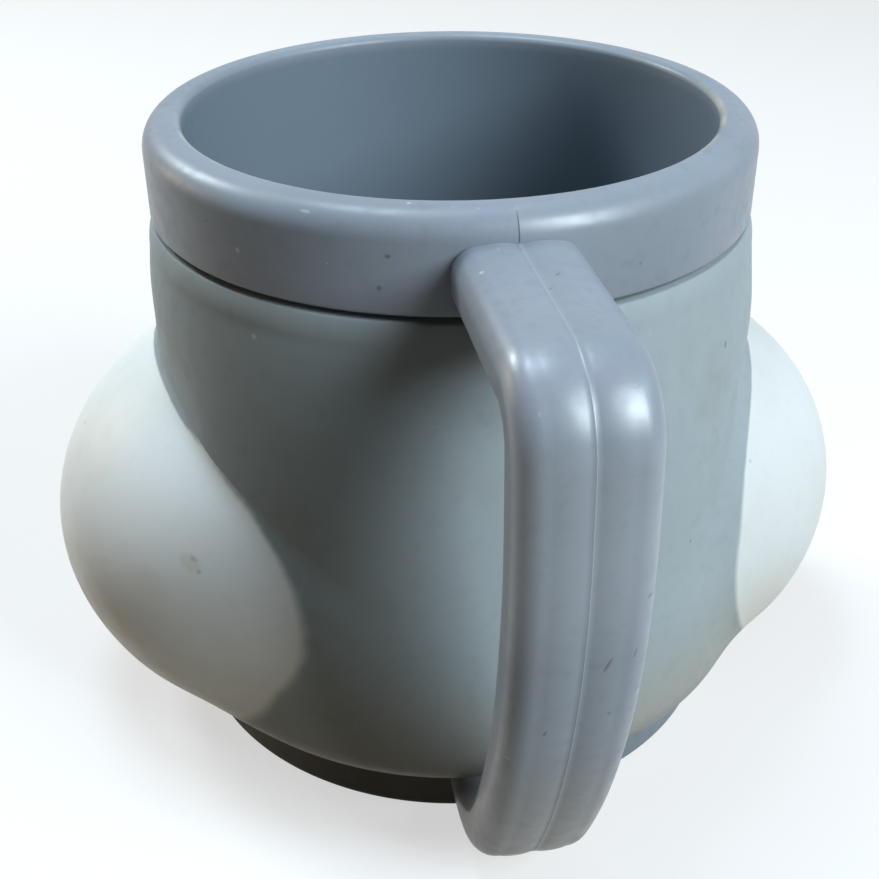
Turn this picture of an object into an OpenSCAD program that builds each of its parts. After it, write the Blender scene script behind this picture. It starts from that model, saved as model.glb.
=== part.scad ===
// Mug with a rolled rim collar, a bar handle and an outer shell that carries two round side lobes.
// Millimetres, +Z up. The origin is the centre of the base's underside, on the table.
// The handle points to -Y, the lobes to -X and +X.

/* [Whole mug] */
// Height from the table to the top of the rim
mug_height = 92; // [78:1:120]
// Outside radius of the rim collar
collar_radius = 42; // [36:0.5:52]
// Height of the rim collar
collar_height = 13; // [11:0.5:20]

/* [Inner cup] */
// Width of the rolled rim, seen from above
rim_width = 5.4; // [5:0.1:8]
// Wall of the inner cup
cup_wall = 1.8; // [1.2:0.1:2]
// Thickness of the cup's floor
cup_floor = 2.4; // [1.6:0.1:4]
// Round inside the cup between wall and floor
cup_floor_round = 6; // [3:0.5:10]
// Wall of the skirt that hangs from the rim
skirt_wall = 1.8; // [1.2:0.1:2]
// Round along the skirt's lower edge
skirt_edge_round = 0.5; // [0.3:0.1:0.8]

/* [Outer shell] */
// How far the shell's widest place stands out past the collar
belly_out = 5.6; // [4:0.2:9]
// Height of the shallow bow along the shell's side
belly_bow = 0.6; // [0.4:0.1:2]
// Wall of the outer shell
shell_wall = 2; // [1.4:0.1:2.6]
// Round along the shell's bottom edge
shell_bottom_round = 7.2; // [6:0.2:9]
// Radius of the soft shoulder under the collar
shoulder_round = 10; // [7:0.5:16]
// Height of the soft shoulder
shoulder_height = 4; // [2:0.5:6]
// Height of the neck that slides up behind the skirt
neck_height = 8; // [5:0.5:9]
// Open line between the collar and the shell
seam_gap = 0.5; // [0.3:0.1:1]

/* [Side lobes] */
// How far the left lobe's tip stands out past the shell's widest place
left_out = 13.6; // [8:0.2:22]
// Height of the left lobe's centre above the table
left_height = 30.2; // [29:0.2:40]
// Half length of the left lobe's form from front to back
left_half_length = 41; // [34:0.5:46]
// Half height of the left lobe's form
left_half_height = 38.5; // [30:0.5:39]
// Distance of the left lobe's centre from the mug's axis
left_centre_out = 10; // [4:0.5:16]
// How far the right lobe's tip stands out past the shell's widest place
right_out = 14.4; // [8:0.2:22]
// Height of the right lobe's centre above the table
right_height = 27.8; // [27:0.2:40]
// Half length of the right lobe's form from front to back
right_half_length = 32; // [28:0.5:40]
// Half height of the right lobe's form
right_half_height = 35.6; // [30:0.2:36]
// Distance of the right lobe's centre from the mug's axis
right_centre_out = 20; // [16:0.5:24]
// Wall of a lobe
lobe_wall = 2; // [1.4:0.1:3]
// Radius of the stub that plugs a lobe into the shell
stub_radius = 5; // [3:0.5:8]

/* [Handle] */
// How far the handle's outer face stands out past the collar
handle_reach = 33.2; // [29:0.2:44]
// Width of the handle bar
handle_width = 15.4; // [11:0.2:20]
// Thickness of the handle bar
handle_thick = 8.6; // [7:0.2:10]
// Round along the bar's long edges
handle_edge_round = 3.3; // [2:0.1:3.4]
// Distance of the bar's top face below the top of the rim
handle_drop = 3.8; // [3:0.1:4.4]
// Outside radius of the handle's upper corner
upper_corner = 10; // [9.5:0.5:15]
// Length of the upright part below the upper corner
grip_straight = 9; // [3:0.5:18]
// Angle that the grip leans in towards its foot, in degrees
grip_lean = 28; // [24:1:34]
// Outside radius of the handle's lower corner
lower_corner = 17; // [14:0.2:22]
// Height of the handle's lowest face above the table
handle_lift = 2; // [1.4:0.1:3.6]

/* [Base] */
// Height of the foot ring under the shell
foot_height = 7.2; // [6:0.2:10]
// Thickness of the base plate
base_plate = 3; // [2:0.1:4]
// Round along the foot's lower edge
foot_edge_round = 1.2; // [0.6:0.1:1.8]
// Wall of the ring that stands up inside the shell
spigot_wall = 2; // [1.4:0.1:2.6]
// Height of that ring above the foot
spigot_height = 5; // [3:0.5:8]
// Width of the flat that the shell rests on
seat_width = 2; // [1.4:0.1:3]

/* [Fits] */
// Clearance between faces that slide together
fit_gap = 0.2; // [0.1:0.05:0.35]
// Depth of the step where the handle's slimmer lower bend runs out of the grip
lap_depth = 0.05; // [0.03:0.01:0.1]

/* [Hidden] */
$fn = 96;
overrun = 1;
far = 3 * mug_height;

// Heights
seam_z = mug_height - collar_height;
shell_top_z = seam_z - seam_gap;
shoulder_z = shell_top_z - shoulder_height;
belly_z = foot_height + shell_bottom_round;

// Rim: the outer and the inner round meet at the top of the lip
outer_lip_share = 0.7;
rim_round = outer_lip_share * rim_width;
lip_round = rim_width - rim_round;
lip_radius = collar_radius - rim_round;
mouth_radius = collar_radius - rim_width;

// Shell: a shallow arc from the shoulder down to the widest place
shell_radius = collar_radius + belly_out;
shoulder_drop = shoulder_round - sqrt(shoulder_round * shoulder_round - shoulder_height * shoulder_height);
shoulder_radius = collar_radius + shoulder_drop;
chord_out = shell_radius - shoulder_radius;
chord_up = shoulder_z - belly_z;
half_chord = sqrt(chord_out * chord_out + chord_up * chord_up) / 2;
arc_radius = (half_chord * half_chord + belly_bow * belly_bow) / (2 * belly_bow);
arc_back = arc_radius - belly_bow;
arc_r = (shell_radius + shoulder_radius) / 2 - arc_back * chord_up / (2 * half_chord);
arc_z = (shoulder_z + belly_z) / 2 - arc_back * chord_out / (2 * half_chord);
arc_facets = 1200;

// Base: the shell stands on the foot and slips over the spigot
rest_radius = shell_radius - shell_bottom_round;
spigot_radius = rest_radius - seat_width;
spigot_bore = spigot_radius - spigot_wall;
foot_out_share = 0.25;
foot_radius = rest_radius + foot_out_share * shell_bottom_round;

// Cup: tapers from the mouth to a foot that stands inside the spigot
cup_foot_radius = spigot_bore - 2 * fit_gap;
cup_top_radius = mouth_radius + cup_wall;
cup_rise = mug_height - base_plate;
function cup_outside(z) = cup_foot_radius + (cup_top_radius - cup_foot_radius) * (z - base_plate) / cup_rise;
cup_floor_z = base_plate + cup_floor;
groove_radius = collar_radius - skirt_wall;
groove_z = seam_z + neck_height + fit_gap;
neck_out = groove_radius - fit_gap;
neck_in = cup_outside(groove_z) + fit_gap;

// Handle: the bar's centre line, as radius from the axis and height
bar_half = handle_thick / 2;
inner_bend_share = 0.1;
upper_bend = max(upper_corner - bar_half, bar_half + inner_bend_share * handle_thick);
lower_bend = lower_corner - bar_half;
arm_z = mug_height - handle_drop - bar_half;
grip_r = collar_radius + handle_reach - bar_half;
upper_r = grip_r - upper_bend;
upper_z = arm_z - upper_bend;
sweep_z = upper_z - grip_straight;
low_arm_z = handle_lift + bar_half;
sweep_bend = (sweep_z - low_arm_z - lower_bend * (1 - sin(grip_lean))) / sin(grip_lean);
bend_offset = sweep_bend - lower_bend;
lower_r = grip_r - sweep_bend + bend_offset * cos(grip_lean);
lap_angle = 1.5;

// Tenons at the two ends of the handle. The upper mortise opens into the groove behind the skirt.
tenon_share = 0.5;
tenon_width = tenon_share * handle_width;
upper_tenon_height = tenon_share * handle_thick;
upper_tenon_in = groove_radius + fit_gap;
upper_mortise_in = (groove_radius + cup_top_radius) / 2;
lower_tenon_z = (handle_lift + foot_height) / 2;
lower_tenon_height = tenon_share * (foot_height - handle_lift);
lower_tenon_in = (foot_radius + spigot_bore) / 2;

// Lobes: hollow, with a boss that stands on the shell and a stub that goes through it
lobe_bottom_share = 0.3;
lobe_bottom_z = foot_height + lobe_bottom_share * shell_bottom_round;
boss_radius = stub_radius + lobe_wall;
stub_in = shell_radius - shell_wall - chord_out;

// Flat piece of a half section, between two radii and two heights
module band(r_in, r_out, z_low, z_high) {
    translate([r_in, z_low])
        square([r_out - r_in, z_high - z_low]);
}

// Quarter disc of a half section, with signs that say which way its round faces
module round_corner(r, z, size, side, up) {
    intersection() {
        translate([r, z])
            circle(r = size);
        translate([side > 0 ? r : r - size, up > 0 ? z : z - size])
            square([size, size]);
    }
}

// Filled half section of the shell, moved out by a margin all along its side
module shell_form(grow) {
    intersection() {
        translate([arc_r, arc_z])
            circle(r = arc_radius + grow, $fn = arc_facets);
        band(0, far, belly_z, shoulder_z);
    }
    round_corner(rest_radius, belly_z, shell_bottom_round + grow, 1, -1);
    band(0, rest_radius, foot_height - grow, belly_z);
    intersection() {
        translate([shoulder_radius - shoulder_round, shoulder_z])
            circle(r = shoulder_round + grow);
        band(shoulder_radius - shoulder_round, far, shoulder_z, shell_top_z);
    }
    band(0, shoulder_radius - shoulder_round, shoulder_z, shell_top_z);
}

// Cross section of the handle bar, its width along X and its thickness along Y
module bar_section(grow) {
    w = handle_width / 2 + grow;
    t = bar_half + grow;
    e = handle_edge_round + grow;
    translate([-w, e - t])
        square([2 * w, 2 * (t - e)]);
    translate([e - w, -t])
        square([2 * (w - e), 2 * t]);
    for (x = [e - w, w - e])
        for (y = [e - t, t - e])
            translate([x, y])
                circle(r = e, $fn = $fn / 2);
}

// Straight length of bar that runs in towards the mug
module straight_arm(length, grow) {
    rotate([-90, 0, 0])
        linear_extrude(height = length)
            bar_section(grow);
}

// Bent length of bar about an axis along X, between two angles below the outward level
module bent_arm(bend, from, to, grow) {
    rotate([0, 90, 0])
        rotate([0, 0, -90])
            rotate_extrude(angle = to - from, start = from)
                translate([bend, 0])
                    rotate([0, 0, 90])
                        bar_section(grow);
}

// The whole bar, from the collar round to the foot
module handle_bar(grow) {
    translate([0, -grip_r, sweep_z]) {
        linear_extrude(height = grip_straight)
            bar_section(grow);
        translate([0, upper_bend, grip_straight]) {
            bent_arm(upper_bend, -90, 0, grow);
            translate([0, 0, upper_bend])
                straight_arm(upper_r - lip_radius, grow);
        }
        translate([0, sweep_bend, 0]) {
            bent_arm(sweep_bend, 0, grip_lean, grow);
            translate([0, -bend_offset * cos(grip_lean), -bend_offset * sin(grip_lean)]) {
                bent_arm(lower_bend, grip_lean - lap_angle, 90, grow - lap_depth);
                translate([0, 0, -lower_bend])
                    straight_arm(lower_r - spigot_bore, grow - lap_depth);
            }
        }
    }
}

// Everything that the handle has to stay clear of
module mug_form(grow) {
    rotate_extrude() {
        shell_form(grow);
        band(0, collar_radius + grow, shell_top_z, mug_height + overrun);
        band(0, foot_radius + grow, -overrun, foot_height);
    }
}

// Tenons at the handle's ends, the upper one reaching in to a given radius
module handle_tenons(upper_in, grow) {
    translate([-tenon_width / 2 - grow, -collar_radius - overrun, arm_z - upper_tenon_height / 2 - grow])
        cube([
            tenon_width + 2 * grow,
            collar_radius + overrun - upper_in,
            upper_tenon_height + 2 * grow
        ]);
    translate([-tenon_width / 2 - grow, -foot_radius - overrun, lower_tenon_z - lower_tenon_height / 2 - grow])
        cube([
            tenon_width + 2 * grow,
            foot_radius + overrun - lower_tenon_in + grow,
            lower_tenon_height + 2 * grow
        ]);
}

// Round form of a lobe on the -X side, given by its half sizes out, along and up
module lobe_form(centre_out, height, half_out, half_length, half_height) {
    translate([-centre_out, 0, height])
        scale([half_out / half_height, half_length / half_height, 1])
            sphere(r = half_height);
}

// Stub that holds a lobe on the -X side
module lobe_stub(height, grow) {
    translate([-shell_radius - overrun, 0, height])
        rotate([0, 90, 0])
            cylinder(r = stub_radius + grow, h = shell_radius + overrun - stub_in + grow);
}

// Boss inside a lobe, as a bar along the whole of its form
module lobe_boss(height) {
    translate([-far, 0, height])
        rotate([0, 90, 0])
            cylinder(r = boss_radius, h = far);
}

module inner_cup() {
    color([0.44, 0.48, 0.54])
        difference() {
            rotate_extrude()
                difference() {
                    union() {
                        band(lip_radius, collar_radius - skirt_edge_round, seam_z, mug_height - rim_round);
                        band(lip_radius, collar_radius, seam_z + skirt_edge_round, mug_height - rim_round);
                        round_corner(
                            collar_radius - skirt_edge_round, seam_z + skirt_edge_round, skirt_edge_round, 1, -1);
                        round_corner(lip_radius, mug_height - rim_round, rim_round, 1, 1);
                        round_corner(lip_radius, mug_height - lip_round, lip_round, -1, 1);
                        polygon([
                            [0, base_plate],
                            [cup_foot_radius, base_plate],
                            [cup_outside(mug_height - lip_round), mug_height - lip_round],
                            [mouth_radius, mug_height - lip_round],
                            [0, mug_height - lip_round]
                        ]);
                    }
                    polygon([
                        [0, cup_floor_z + cup_floor_round],
                        [cup_outside(cup_floor_z + cup_floor_round) - cup_wall, cup_floor_z + cup_floor_round],
                        [mouth_radius, mug_height - lip_round],
                        [mouth_radius, mug_height + overrun],
                        [0, mug_height + overrun]
                    ]);
                    cup_round_r = cup_outside(cup_floor_z + cup_floor_round) - cup_wall - cup_floor_round;
                    round_corner(cup_round_r, cup_floor_z + cup_floor_round, cup_floor_round, 1, -1);
                    band(0, cup_round_r, cup_floor_z, cup_floor_z + cup_floor_round);
                    polygon([
                        [cup_outside(seam_z - overrun), seam_z - overrun],
                        [groove_radius, seam_z - overrun],
                        [groove_radius, groove_z],
                        [cup_outside(groove_z), groove_z]
                    ]);
                }
            handle_tenons(upper_mortise_in, fit_gap);
        }
}

module outer_shell() {
    color([0.50, 0.54, 0.54])
        difference() {
            rotate_extrude()
                difference() {
                    union() {
                        shell_form(0);
                        band(neck_in, neck_out, shoulder_z, seam_z + neck_height);
                    }
                    intersection() {
                        shell_form(-shell_wall);
                        band(0, far, 0, shell_top_z - shell_wall);
                    }
                    band(0, neck_in, 0, mug_height);
                    band(0, spigot_radius + fit_gap, 0, belly_z);
                }
            handle_bar(fit_gap);
            lobe_stub(left_height, fit_gap);
            mirror([1, 0, 0])
                lobe_stub(right_height, fit_gap);
        }
}

// A lobe on the -X side, hollow and cut to sit on the shell, with its boss and stub
module lobe(tip_out, height, centre_out, half_length, half_height) {
    half_out = shell_radius + tip_out - centre_out;
    difference() {
        lobe_form(centre_out, height, half_out, half_length, half_height);
        difference() {
            lobe_form(
                centre_out, height, half_out - lobe_wall, half_length - lobe_wall, half_height - lobe_wall);
            lobe_boss(height);
            translate([-far, -far / 2, lobe_bottom_z + lobe_wall - far])
                cube([far, far, far]);
        }
        rotate_extrude() {
            shell_form(fit_gap);
            band(0, far, -far, lobe_bottom_z);
            band(0, shoulder_radius, shoulder_z, mug_height);
        }
        translate([-centre_out, -far / 2, -far / 2])
            cube([far, far, far]);
    }
    lobe_stub(height, 0);
}

module left_lobe() {
    color([0.90, 0.91, 0.88])
        lobe(left_out, left_height, left_centre_out, left_half_length, left_half_height);
}

module right_lobe() {
    color([0.90, 0.91, 0.88])
        mirror([1, 0, 0])
            lobe(right_out, right_height, right_centre_out, right_half_length, right_half_height);
}

module handle() {
    color([0.42, 0.46, 0.52]) {
        difference() {
            handle_bar(0);
            mug_form(fit_gap);
        }
        handle_tenons(upper_tenon_in, 0);
    }
}

module base() {
    color([0.44, 0.48, 0.54])
        difference() {
            rotate_extrude() {
                band(0, foot_radius - foot_edge_round, 0, foot_edge_round);
                round_corner(foot_radius - foot_edge_round, foot_edge_round, foot_edge_round, 1, -1);
                band(0, foot_radius, foot_edge_round, base_plate);
                band(spigot_bore, foot_radius, base_plate, foot_height);
                band(spigot_bore, spigot_radius, base_plate, foot_height + spigot_height);
            }
            handle_tenons(upper_mortise_in, fit_gap);
        }
}

inner_cup();
outer_shell();
left_lobe();
right_lobe();
handle();
base();
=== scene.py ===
# %% [markdown]
# # A plastic mug with a bar handle and two side lobes
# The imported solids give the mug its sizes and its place. This lesson builds the surfaces that the eye
# sees over those solids: turned walls, a swept handle, two lobes that flow out of the shell, and a
# finish for each plastic. Everything is in metres, in the frame of the solids.

# %% Load the frame
import math

import bmesh
import bpy
import numpy as np
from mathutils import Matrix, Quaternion, Vector


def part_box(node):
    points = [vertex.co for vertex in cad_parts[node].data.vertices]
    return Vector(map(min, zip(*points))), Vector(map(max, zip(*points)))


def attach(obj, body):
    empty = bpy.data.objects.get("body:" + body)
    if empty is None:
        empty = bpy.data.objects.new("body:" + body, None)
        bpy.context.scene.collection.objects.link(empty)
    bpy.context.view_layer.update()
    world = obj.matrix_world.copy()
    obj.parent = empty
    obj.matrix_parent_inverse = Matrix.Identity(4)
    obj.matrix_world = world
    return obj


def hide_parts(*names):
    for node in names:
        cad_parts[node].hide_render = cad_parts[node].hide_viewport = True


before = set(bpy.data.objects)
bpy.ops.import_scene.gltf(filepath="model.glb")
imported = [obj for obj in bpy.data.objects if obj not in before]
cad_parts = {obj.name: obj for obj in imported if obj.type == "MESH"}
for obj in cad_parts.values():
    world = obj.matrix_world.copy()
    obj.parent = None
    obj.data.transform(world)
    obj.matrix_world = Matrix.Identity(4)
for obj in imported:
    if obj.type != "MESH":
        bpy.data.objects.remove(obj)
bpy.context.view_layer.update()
MM = 0.001
print("solids:", ", ".join(sorted(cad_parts)))

# %% [markdown]
# ## Sizes
# The outer sizes are read from the solids, so the looks follow them. What the boxes can't tell, such as
# a wall or a round, is named once in millimetres, in the cell that uses it.

# %% Sizes read from the solids
cup_low, cup_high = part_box("inner_cup")
shell_low, shell_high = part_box("outer_shell")
base_low, base_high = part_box("base")
bar_low, bar_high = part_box("handle")

rim_z = cup_high.z
collar_radius = cup_high.x
foot_z = shell_low.z
foot_radius = base_high.x
shell_radius = shell_high.x
for name, size in (("rim height", rim_z), ("collar radius", collar_radius), ("shell radius", shell_radius)):
    print(name, round(size / MM, 2), "mm")

# %% [markdown]
# ## Turned walls
# The cup, the shell and the base are round, so each is an outline turned about the mug's axis. An
# outline is a short list of corners and arcs. Long straight runs get a few points in between: smooth
# shading blends normals along a face, and a short face keeps that blend close to the corner.

# %% Outline helpers and the lathe
lathe_steps = 240
run_spacing = 2.5 * MM
weld_distance = 0.002 * MM


def arc(ring, height, radius, start, end, steps):
    """Points of an arc about (ring, height), between two angles in degrees."""
    angles = [math.radians(start + (end - start) * k / steps) for k in range(steps + 1)]
    return [(ring + radius * math.cos(a), height + radius * math.sin(a)) for a in angles]


def bow(height, share):
    """Height of an even bow over a run: nothing at both ends and the full height in the middle."""
    return 4 * height * share * (1 - share)


def with_runs_filled(outline):
    """The same outline with points added along its long straight runs."""
    filled = [outline[0]]
    for (r0, z0), (r1, z1) in zip(outline, outline[1:]):
        count = max(1, round(math.hypot(r1 - r0, z1 - z0) / run_spacing))
        filled += [(r0 + (r1 - r0) * k / count, z0 + (z1 - z0) * k / count) for k in range(1, count + 1)]
    return filled


def lathe(outline):
    """Turns an outline about the Z axis, starting on the handle's side."""
    bm = bmesh.new()
    points = [bm.verts.new((0, -ring, height)) for ring, height in with_runs_filled(outline)]
    edges = [bm.edges.new(pair) for pair in zip(points, points[1:])]
    bmesh.ops.spin(
        bm, geom=points + edges, cent=(0, 0, 0), axis=(0, 0, 1), angle=2 * math.pi, steps=lathe_steps,
        use_merge=True)
    bmesh.ops.remove_doubles(bm, verts=bm.verts, dist=weld_distance)
    bmesh.ops.recalc_face_normals(bm, faces=bm.faces)
    return bm


# %% [markdown]
# ## Pieces
# A finished mesh becomes an object with one material. The solid it stands for is hidden, and the object
# goes where the mug's body goes.

# %% Making a piece of a mesh
smooth_limit = math.radians(34)


def make_piece(name, bm, node, material):
    """Turns a bmesh into a piece that hides the solid it stands for and rides with the mug's body."""
    mesh = bpy.data.meshes.new(name)
    bm.to_mesh(mesh)
    bm.free()
    mesh.shade_smooth()
    mesh.set_sharp_from_angle(angle=smooth_limit)
    mesh.materials.append(material)
    piece = bpy.data.objects.new(name, mesh)
    bpy.context.scene.collection.objects.link(piece)
    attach(piece, "root")
    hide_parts(node)
    print(name, len(mesh.vertices), "points,", len(mesh.polygons), "faces")
    return piece


# %% [markdown]
# ## Node helpers
# A finish is a small tree of nodes. These helpers keep each tree short to read: one adds a node and
# plugs in its inputs, the others do one step of arithmetic or mix two colours or numbers.

# %% Node helpers
def add_node(tree, kind, inputs=None, **settings):
    """Adds a node. An input is a number, a colour or another node's output."""
    node = tree.nodes.new(kind)
    for name, value in settings.items():
        setattr(node, name, value)
    for name, value in (inputs or {}).items():
        if isinstance(value, bpy.types.NodeSocket):
            tree.links.new(value, node.inputs[name])
        else:
            node.inputs[name].default_value = value
    return node


def calc(tree, operation, first, second=0.0):
    """One step of arithmetic."""
    return add_node(tree, "ShaderNodeMath", {0: first, 1: second}, operation=operation).outputs[0]


def ease(tree, value, low, high, out_low=0.0, out_high=1.0):
    """Goes smoothly from out_low to out_high as value goes from low to high."""
    inputs = {"Value": value, "From Min": low, "From Max": high, "To Min": out_low, "To Max": out_high}
    return add_node(tree, "ShaderNodeMapRange", inputs, interpolation_type="SMOOTHSTEP").outputs["Result"]


def blend_colour(tree, factor, first, second):
    """Mixes two colours."""
    return add_node(tree, "ShaderNodeMix", {0: factor, 6: first, 7: second}, data_type="RGBA").outputs[2]


def overlay(tree, colour, share, strength, tint):
    """Lays a tint on a colour, by a share from 0 to 1 times a strength."""
    return blend_colour(tree, calc(tree, "MULTIPLY", share, strength), colour, tint)


def blend_value(tree, factor, first, second):
    """Mixes two numbers."""
    return add_node(tree, "ShaderNodeMix", {0: factor, 2: first, 3: second}, data_type="FLOAT").outputs[0]


# %% [markdown]
# ## Patterns
# Moulded plastic needs only a few patterns, all laid out in the mug's own space: soft clouds, scratches,
# small specks, and single marks that sit at a chosen place. A core says how far in from its border a mark
# reaches its full strength.

# %% Patterns
streak_core = 0.8
speck_core = 0.6
spot_core = 0.4


def object_place(tree):
    """Where a point is in the mug's own frame."""
    return add_node(tree, "ShaderNodeTexCoord").outputs["Object"]


def noise(tree, place, scale, detail=3.0):
    """Soft random pattern, scale in features a metre."""
    inputs = {"Vector": place, "Scale": scale, "Detail": detail}
    return add_node(tree, "ShaderNodeTexNoise", inputs).outputs["Fac"]


def streaks(tree, place, scale, stretch, turn, amount):
    """Fine scratches: a noise stretched along one direction and cut to its peaks."""
    inputs = {"Vector": place, "Rotation": turn, "Scale": stretch}
    turned = add_node(tree, "ShaderNodeMapping", inputs).outputs["Vector"]
    return ease(tree, noise(tree, turned, scale, 2.0), 1.0 - amount, 1.0 - amount * streak_core)


def specks(tree, place, scale, size, share):
    """Small dots: the middles of some of a pattern's cells."""
    cells = add_node(tree, "ShaderNodeTexVoronoi", {"Vector": place, "Scale": scale})
    chosen = add_node(tree, "ShaderNodeSeparateColor", {"Color": cells.outputs["Color"]}).outputs["Red"]
    dot = ease(tree, cells.outputs["Distance"], size, size * speck_core)
    return calc(tree, "MULTIPLY", dot, calc(tree, "LESS_THAN", chosen, share))


def spot(tree, place, centre, size, turn):
    """A soft blot about one point. The centre and the size along each axis are in mm, the turn in degrees."""
    inputs = {
        "Vector": place,
        "Location": [v * MM for v in centre],
        "Rotation": [math.radians(v) for v in turn],
        "Scale": [v * MM for v in size],
    }
    local = add_node(tree, "ShaderNodeMapping", inputs, vector_type="TEXTURE").outputs["Vector"]
    reach = add_node(tree, "ShaderNodeVectorMath", {0: local}, operation="LENGTH").outputs["Value"]
    return ease(tree, reach, 1.0, spot_core)


def with_marks(tree, place, colour, marks):
    """The colour with a few marks laid on it, each a centre, a size, a turn, a tint and a strength."""
    for centre, size, turn, tint, strength in marks:
        colour = overlay(tree, colour, spot(tree, place, centre, size, turn), strength, tint)
    return colour


# %% [markdown]
# ## Materials
# Every plastic has one shader. Its gloss says how strongly it mirrors, and a pattern of heights bends the
# light on it.

# %% Materials
plastic_ior = 1.47


def new_material(name, gloss):
    """A node tree with a plastic shader of some gloss, and the output it is plugged into."""
    material = bpy.data.materials.new(name)
    material.use_nodes = True
    tree = material.node_tree
    tree.nodes.clear()
    shader = add_node(tree, "ShaderNodeBsdfPrincipled", {"IOR": plastic_ior, "Specular IOR Level": gloss})
    add_node(tree, "ShaderNodeOutputMaterial", {"Surface": shader.outputs[0]})
    return material, tree, shader


def dress(tree, shader, colour, roughness, height):
    """Plugs colour, roughness and a height in metres into the shader."""
    bump = add_node(tree, "ShaderNodeBump", {"Height": height, "Distance": 1.0, "Strength": 1.0})
    tree.links.new(colour, shader.inputs["Base Color"])
    tree.links.new(roughness, shader.inputs["Roughness"])
    tree.links.new(bump.outputs["Normal"], shader.inputs["Normal"])


# %% [markdown]
# ## Blue-grey satin plastic
# The cup, the handle and the base are one colour: a blue-grey plastic with a satin skin. Close up it has
# a fine grain from the mould, cloudy changes of tone, hairline scratches and a few dark specks. A noise is
# named by its scale and its detail, scratches by scale, stretch, turn and amount, and specks by scale, size
# and share.

# %% Blue-grey finish
cup_grey = (0.226, 0.255, 0.295, 1)
cup_grey_pale = (0.260, 0.293, 0.336, 1)
cup_grey_mauve = (0.255, 0.262, 0.318, 1)
speck_dark = (0.10, 0.10, 0.11, 1)
dust_pale = (0.52, 0.56, 0.60, 1)
satin_gloss = 0.36
satin_rough = (0.31, 0.43)
scratch_rough = 0.08
grain_height = 0.007 * MM
ripple_height = 0.010 * MM
scratch_depth = 0.010 * MM
cloud_range = (0.3, 0.7)
tint_range = (0.45, 0.75)
mottle_range = (0.50, 0.85)
rough_range = (0.2, 0.8)
cup_clouds = (45.0, 4.0)
cup_tint = (95.0, 2.0)
cup_mottle = (520.0, 3.0)
cup_grain = (2600.0, 2.0)
cup_ripple = (240.0, 1.0)
cup_scratches = (900.0, (1.0, 1.0, 0.05), (0.5, 0.3, 0.9), 0.27)
cup_dots = (260.0, 0.07, 0.10)
cup_dust = (330.0, 0.06, 0.12)
cup_tint_strength = 0.6
cup_mottle_strength = 0.16
cup_scratch_strength = 0.22
cup_dot_strength = 0.55
cup_dust_strength = 0.50


def blue_grey_finish(tree, place):
    """Colour, roughness and height of the blue-grey plastic."""
    clouds = ease(tree, noise(tree, place, *cup_clouds), *cloud_range)
    tint = ease(tree, noise(tree, place, *cup_tint), *tint_range)
    mottle = noise(tree, place, *cup_mottle)
    scratches = streaks(tree, place, *cup_scratches)
    dots = specks(tree, place, *cup_dots)
    dust = specks(tree, place, *cup_dust)
    colour = blend_colour(tree, clouds, cup_grey, cup_grey_pale)
    colour = overlay(tree, colour, tint, cup_tint_strength, cup_grey_mauve)
    colour = overlay(tree, colour, ease(tree, mottle, *mottle_range), cup_mottle_strength, speck_dark)
    colour = overlay(tree, colour, scratches, cup_scratch_strength, dust_pale)
    colour = overlay(tree, colour, dots, cup_dot_strength, speck_dark)
    colour = overlay(tree, colour, dust, cup_dust_strength, dust_pale)
    roughness = ease(tree, mottle, *rough_range, *satin_rough)
    roughness = calc(tree, "ADD", roughness, calc(tree, "MULTIPLY", scratches, scratch_rough))
    grain = calc(tree, "MULTIPLY", noise(tree, place, *cup_grain), grain_height)
    ripple = calc(tree, "MULTIPLY", noise(tree, place, *cup_ripple), ripple_height)
    cuts = calc(tree, "MULTIPLY", scratches, -scratch_depth)
    return colour, roughness, calc(tree, "ADD", calc(tree, "ADD", grain, ripple), cuts)


# %% [markdown]
# ## The inner cup
# The liner, the rolled rim and the skirt that hangs from the rim are one moulding. Its outline runs from
# the axis under the floor, up the outside of the liner, through the groove behind the skirt, round the rim
# and down the inside to the floor.

# %% Inner cup
collar_height = 13 * MM
rim_width = 5.4 * MM
rim_drop = 0.45 * MM
rim_round = 3.5 * MM
lip_round = 1.0 * MM
cup_wall = 1.8 * MM
cup_floor = 2.4 * MM
floor_round = 6 * MM
skirt_wall = 1.8 * MM
skirt_round = 0.5 * MM
groove_depth = 8.2 * MM
liner_foot = 36.0 * MM

seam_z = rim_z - collar_height
lip_z = rim_z - rim_drop
mouth_radius = collar_radius - rim_width
liner_top = mouth_radius + cup_wall
groove_z = seam_z + groove_depth
groove_radius = collar_radius - skirt_wall
floor_z = cup_low.z + cup_floor


def liner_radius(height):
    """Outside of the liner, which tapers from the mouth to its foot."""
    return liner_foot + (liner_top - liner_foot) * (height - cup_low.z) / (rim_z - cup_low.z)


floor_ring = liner_radius(floor_z + floor_round) - cup_wall - floor_round
cup_outline = [
    (0, cup_low.z),
    (liner_foot, cup_low.z),
    (liner_radius(groove_z), groove_z),
    (groove_radius, groove_z),
    (groove_radius, seam_z),
]
cup_outline += arc(collar_radius - skirt_round, seam_z + skirt_round, skirt_round, -90, 0, 5)
cup_outline += arc(collar_radius - rim_round, lip_z - rim_round, rim_round, 0, 90, 16)
cup_outline += arc(mouth_radius + lip_round, lip_z - lip_round, lip_round, 90, 180, 10)
cup_outline += arc(floor_ring, floor_z + floor_round, floor_round, 0, -90, 12)
cup_outline += [(0, floor_z)]
print("cup outline", len(cup_outline), "points, mouth", round(2 * mouth_radius / MM, 1), "mm wide")

# %% [markdown]
# At the handle the two halves of the mould did not close flush. The half on the right stands a little proud
# on the outer round of the rim, and that step runs out to nothing along the rim. A cut through the mesh just
# beside the middle gives the step its short flank.

# %% Cup mesh with its mould step
step_height = 0.12 * MM
step_run = 0.15 * MM
step_fade = 20 * MM
step_inner = 2.8 * MM
step_outer = 1.9 * MM
cut_slack = 0.9

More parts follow.
